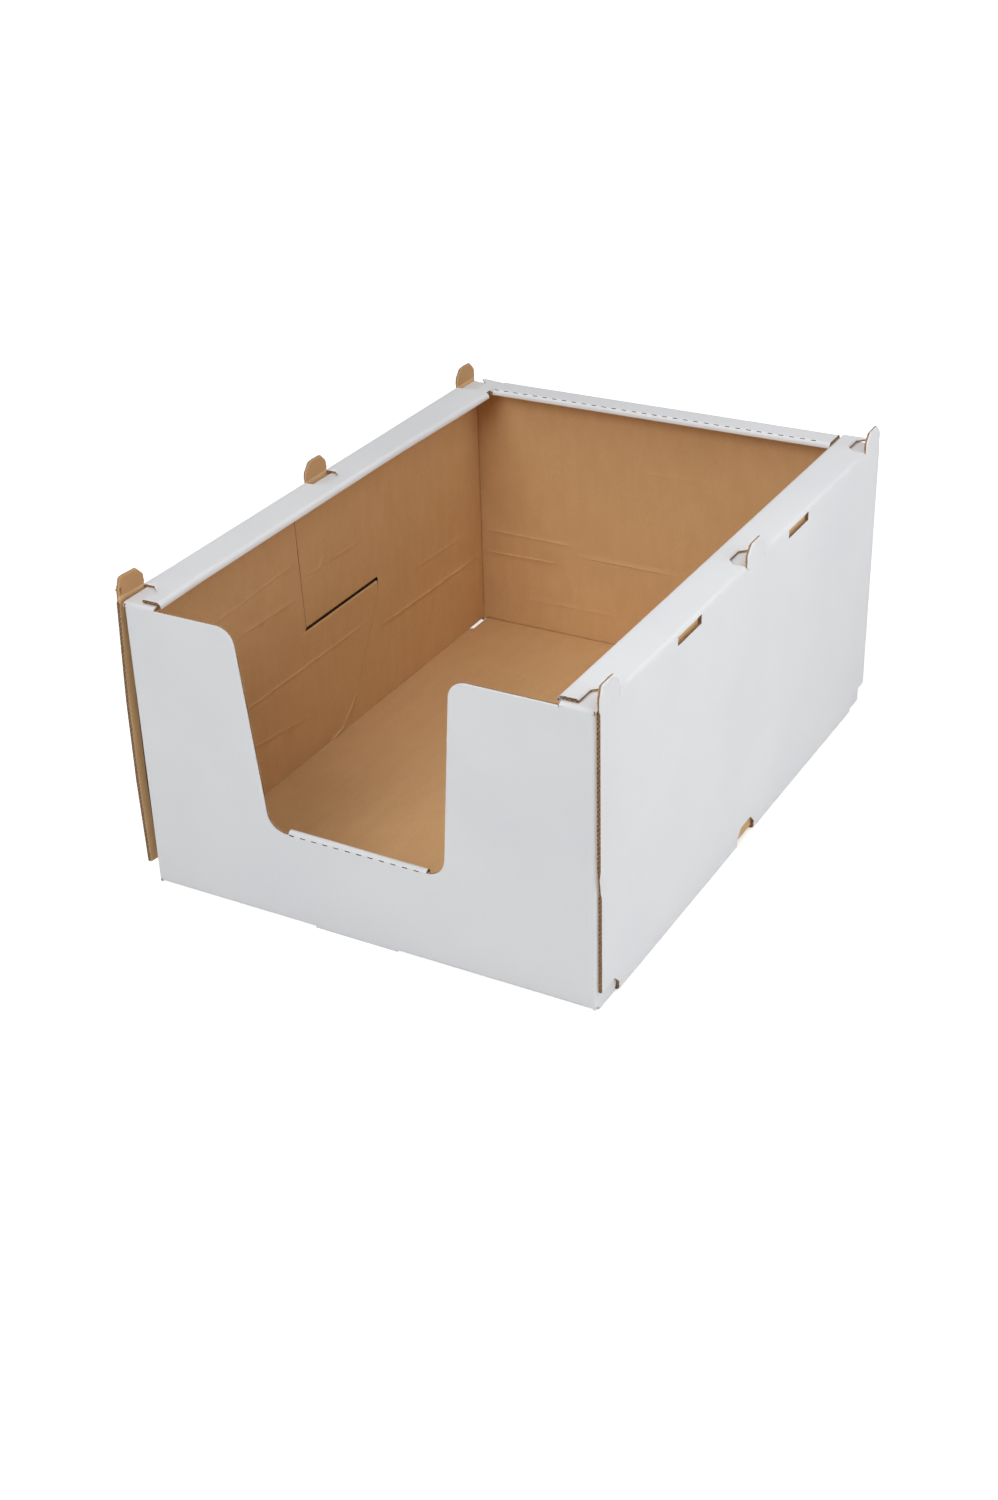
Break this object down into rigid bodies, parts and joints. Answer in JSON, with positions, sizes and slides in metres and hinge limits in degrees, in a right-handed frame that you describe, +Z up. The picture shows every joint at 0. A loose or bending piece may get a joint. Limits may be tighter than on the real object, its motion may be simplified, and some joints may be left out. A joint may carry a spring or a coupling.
{
  "type": "storage carton",
  "caption": "Open-top corrugated carton with a cut-down front, flanged rims, stacking tabs and receptacles",
  "frame": {"origin": "middle of the floor's underside, on the surface the carton stands on", "axes": "+X to the carton's right, +Y from the front wall with the cut-out to the back wall, +Z up"},
  "size_m": [0.407, 0.537, 0.2655],
  "materials": {
    "board": "matte"
  },
  "bodies": {
    "root": {"carton_sheet": "board"}
  },
  "joints": []
}
